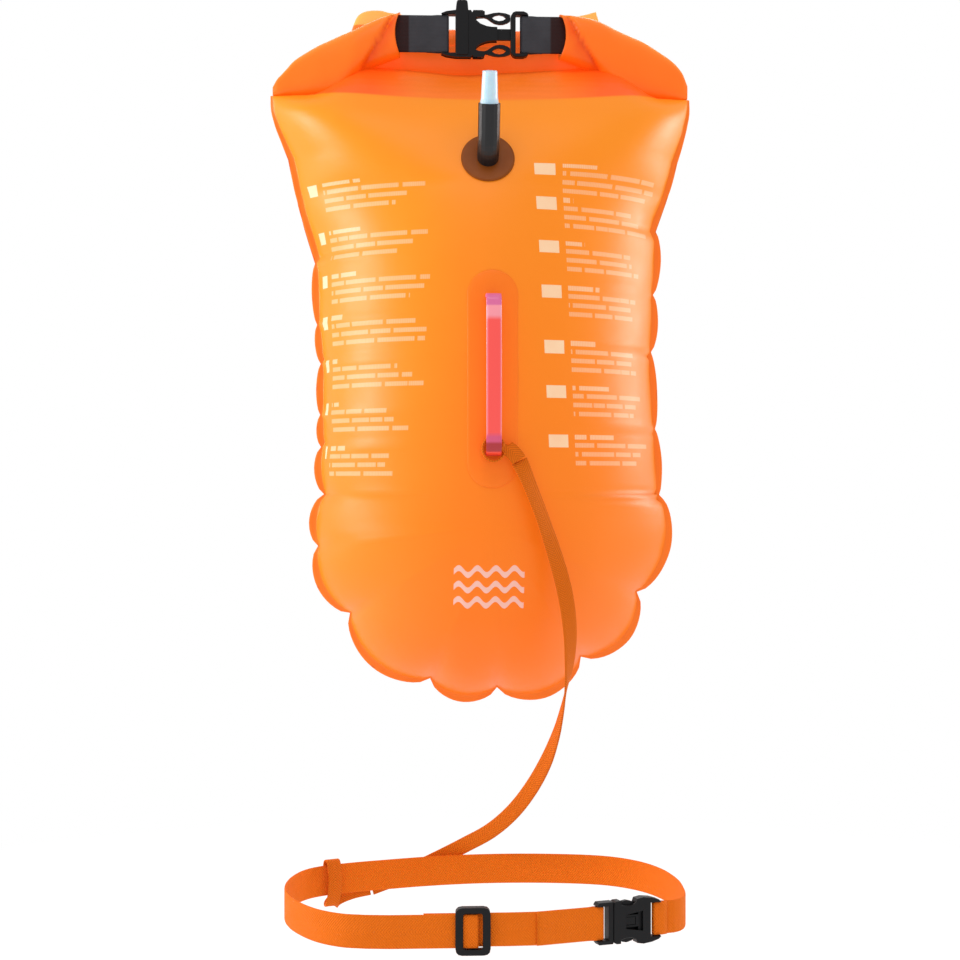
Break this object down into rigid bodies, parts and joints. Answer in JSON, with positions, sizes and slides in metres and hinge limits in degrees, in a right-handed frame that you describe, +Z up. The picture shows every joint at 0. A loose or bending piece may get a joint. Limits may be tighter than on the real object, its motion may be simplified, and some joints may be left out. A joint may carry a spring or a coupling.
{
  "type": "swim buoy",
  "caption": "Inflated roll-top dry bag swim buoy with buckled closure, whistle, oral valve, grab handle, webbing leash and adjustable waist belt",
  "frame": {"origin": "middle of the carry gap behind the closure strap, where a hook or hand carries the buoy", "axes": "+X to the right of the viewer who faces the bag's front, -Y out of the front, +Z up; y = 0 is the plane of the welded seam"},
  "size_m": [0.2865, 0.2527, 0.6026],
  "materials": {
    "bag_orange": "coated nylon, satin",
    "back_orange": "coated nylon, satin",
    "divider_orange": "coated nylon, satin",
    "roll_orange": "coated nylon, satin",
    "stiffener": "plain strip",
    "ear_orange": "coated nylon, folded",
    "closure_webbing": "woven webbing",
    "buckle_black": "moulded acetal",
    "valve_disc": "smoky flexible disc",
    "valve_black": "moulded, satin",
    "mouthpiece_blue": "milky",
    "poppet_red": "moulded",
    "spring_steel": "drawn wire",
    "patch_orange": "coated nylon, welded on",
    "handle_pink": "clear tinted strip",
    "leash_webbing": "woven webbing",
    "belt_webbing": "woven webbing"
  },
  "bodies": {
    "bag": {"front_panel": "bag_orange", "back_panel": "back_orange", "divider_panel": "divider_orange", "collar_roll": "roll_orange", "mouth_stiffener": "stiffener", "left_ear": "ear_orange", "right_ear": "ear_orange", "valve_base": "valve_disc", "valve_tube": "valve_black", "valve_spring": "spring_steel", "handle_patch": "patch_orange", "handle_strip": "handle_pink", "leash_top_loop": "leash_webbing", "leash": "leash_webbing", "leash_belt_loop": "leash_webbing", "belt_webbing": "belt_webbing", "belt_slider": "buckle_black", "belt_socket": "buckle_black"},
    "closure_socket_side": {"closure_strap_left": "closure_webbing", "closure_socket": "buckle_black"},
    "closure_plug_side": {"closure_strap_right": "closure_webbing", "closure_plug": "buckle_black"},
    "closure_arm_upper_body": {"closure_arm_upper": "buckle_black"},
    "closure_arm_lower_body": {"closure_arm_lower": "buckle_black"},
    "valve_button": {"valve_mouthpiece": "mouthpiece_blue", "valve_poppet": "poppet_red"},
    "belt_plug_side": {"belt_plug": "buckle_black", "belt_tail": "belt_webbing"},
    "belt_arm_upper_body": {"belt_arm_upper": "buckle_black"},
    "belt_arm_lower_body": {"belt_arm_lower": "buckle_black"}
  },
  "joints": [
    {"name": "closure_release_left", "type": "slide", "parent": "bag", "child": "closure_socket_side", "axis": [-1, 0, 0], "range_m": [0, 0.0135], "deforming": ["closure_strap_left", "closure_arm_upper", "closure_arm_lower"]},
    {"name": "closure_release_right", "type": "slide", "parent": "bag", "child": "closure_plug_side", "axis": [1, 0, 0], "range_m": [0, 0.0145], "deforming": ["closure_strap_right"]},
    {"name": "closure_squeeze_upper", "type": "hinge", "parent": "closure_plug_side", "child": "closure_arm_upper_body", "pos_m": [0.01693, -0.0095, 0.00897], "axis": [0, -1, 0], "range_deg": [0, 6], "stiffness_Nm_per_rad": 0.3},
    {"name": "closure_squeeze_lower", "type": "hinge", "parent": "closure_plug_side", "child": "closure_arm_lower_body", "pos_m": [0.01693, -0.0095, -0.01337], "axis": [0, 1, 0], "range_deg": [0, 6], "stiffness_Nm_per_rad": 0.3},
    {"name": "valve_press", "type": "slide", "parent": "bag", "child": "valve_button", "axis": [0, 0.2924, -0.9563], "range_m": [0, 0.003], "stiffness_N_per_m": 400, "deforming": ["valve_spring"]},
    {"name": "belt_release", "type": "slide", "parent": "bag", "child": "belt_plug_side", "axis": [-0.9511, -0.309, 0], "range_m": [0, 0.028], "deforming": ["belt_tail", "belt_arm_upper", "belt_arm_lower"]},
    {"name": "belt_squeeze_upper", "type": "hinge", "parent": "belt_plug_side", "child": "belt_arm_upper_body", "pos_m": [0.06564, -0.15057, -0.55846], "axis": [-0.309, 0.9511, 0], "range_deg": [0, 9], "stiffness_Nm_per_rad": 0.3},
    {"name": "belt_squeeze_lower", "type": "hinge", "parent": "belt_plug_side", "child": "belt_arm_lower_body", "pos_m": [0.06564, -0.15057, -0.57414], "axis": [0.309, -0.9511, 0], "range_deg": [0, 9], "stiffness_Nm_per_rad": 0.3}
  ],
  "couplings": [
    {"joint": "closure_squeeze_lower", "follows": "closure_squeeze_upper", "ratio": 1},
    {"joint": "belt_squeeze_lower", "follows": "belt_squeeze_upper", "ratio": 1}
  ]
}
